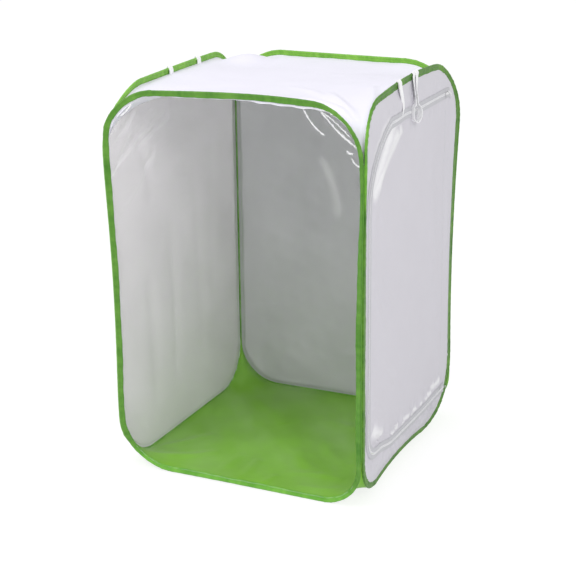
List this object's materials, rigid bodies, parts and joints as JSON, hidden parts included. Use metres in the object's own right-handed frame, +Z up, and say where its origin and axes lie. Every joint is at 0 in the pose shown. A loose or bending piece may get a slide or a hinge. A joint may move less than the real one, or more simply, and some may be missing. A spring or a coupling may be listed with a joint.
{
  "type": "pop-up greenhouse",
  "caption": "Folding pop-up plant tent: sprung wire loops in green binding, clear front window, mesh walls, white roof, green floor and a zipped side door.",
  "frame": {"origin": "on the ground, below the middle of the standing tent", "axes": "+Z up; -Y is out of the clear front window; +X is out of the zipped right wall"},
  "size_m": [0.6408, 0.6, 0.9],
  "materials": {
    "green_binding": "satin polyester tape",
    "green_floor": "coated cloth",
    "white_roof": "coated cloth",
    "white_cloth": "coated cloth",
    "clear_film": "clear soft film",
    "side_mesh": "fine woven mesh",
    "back_mesh": "fine woven mesh",
    "spring_wire": "bright",
    "crimp": "pressed",
    "seam": "rolled seam",
    "zip_tape": "woven tape",
    "zip_coil": "moulded coil",
    "zip_metal": "lacquered",
    "webbing": "woven ribbon"
  },
  "bodies": {
    "front": {"front_wire_loop": "spring_wire", "front_wire_crimp": "crimp", "front_edge_binding": "green_binding", "front_clear_window": "clear_film", "roof_panel": "white_roof", "floor_panel": "green_floor", "front_right_corner_seam": "seam", "front_left_corner_seam": "seam"},
    "right": {"right_wire_loop": "spring_wire", "right_wire_crimp": "crimp", "right_edge_binding": "green_binding", "back_right_corner_seam": "seam", "door_surround": "white_cloth", "surround_zip_tape": "zip_tape", "surround_zip_coil": "zip_coil", "zip_tape_ends": "zip_tape", "zip_coil_ends": "zip_coil", "zip_end_stops": "zip_metal"},
    "back": {"back_wire_loop": "spring_wire", "back_wire_crimp": "crimp", "back_edge_binding": "green_binding", "back_mesh_panel": "back_mesh", "back_left_corner_seam": "seam"},
    "left": {"left_wire_loop": "spring_wire", "left_wire_crimp": "crimp", "left_edge_binding": "green_binding", "left_mesh_panel": "side_mesh"},
    "door": {"door_panel": "white_cloth", "door_zip_tape": "zip_tape", "door_zip_coil": "zip_coil"},
    "slider": {"zip_slider": "zip_metal"},
    "pull": {"zip_pull": "zip_metal"},
    "right_front_loop": {"right_front_hanging_loop": "webbing"},
    "right_rear_loop": {"right_rear_hanging_loop": "webbing"},
    "left_front_loop": {"left_front_hanging_loop": "webbing"},
    "left_rear_loop": {"left_rear_hanging_loop": "webbing"}
  },
  "joints": [
    {"name": "right_fold", "type": "hinge", "parent": "front", "child": "right", "pos_m": [0.29525, -0.29525, 0.45], "axis": [0, 0, 1], "range_deg": [0, 88], "deforming": ["roof_panel", "floor_panel"]},
    {"name": "left_fold", "type": "hinge", "parent": "front", "child": "left", "pos_m": [-0.29525, -0.29525, 0.45], "axis": [0, 0, 1], "range_deg": [0, 88]},
    {"name": "back_fold", "type": "hinge", "parent": "right", "child": "back", "pos_m": [0.29525, 0.29525, 0.45], "axis": [0, 0, 1], "range_deg": [-88, 0]},
    {"name": "door_swing", "type": "hinge", "parent": "right", "child": "door", "pos_m": [0.29745, 0.21067, 0.46], "axis": [0, 0, 1], "range_deg": [-90, 0]},
    {"name": "zipper_slide", "type": "slide", "parent": "right", "child": "slider", "axis": [0, -1, 0], "range_m": [0, 0.34]},
    {"name": "pull_swing", "type": "hinge", "parent": "slider", "child": "pull", "pos_m": [0.30165, 0.22367, 0.84], "axis": [0, 0, 1], "range_deg": [0, 170]},
    {"name": "right_front_loop_swing", "type": "hinge", "parent": "right", "child": "right_front_loop", "pos_m": [0.29775, -0.078, 0.89775], "axis": [0, -1, 0], "range_deg": [0, 60]},
    {"name": "right_rear_loop_swing", "type": "hinge", "parent": "right", "child": "right_rear_loop", "pos_m": [0.29775, 0.022, 0.89775], "axis": [0, -1, 0], "range_deg": [0, 60]},
    {"name": "left_front_loop_swing", "type": "hinge", "parent": "left", "child": "left_front_loop", "pos_m": [-0.29775, -0.034, 0.89775], "axis": [0, 1, 0], "range_deg": [0, 60]},
    {"name": "left_rear_loop_swing", "type": "hinge", "parent": "left", "child": "left_rear_loop", "pos_m": [-0.29775, 0.104, 0.89775], "axis": [0, 1, 0], "range_deg": [0, 60]}
  ],
  "couplings": [
    {"joint": "left_fold", "follows": "right_fold", "ratio": 1},
    {"joint": "back_fold", "follows": "right_fold", "ratio": -1}
  ]
}
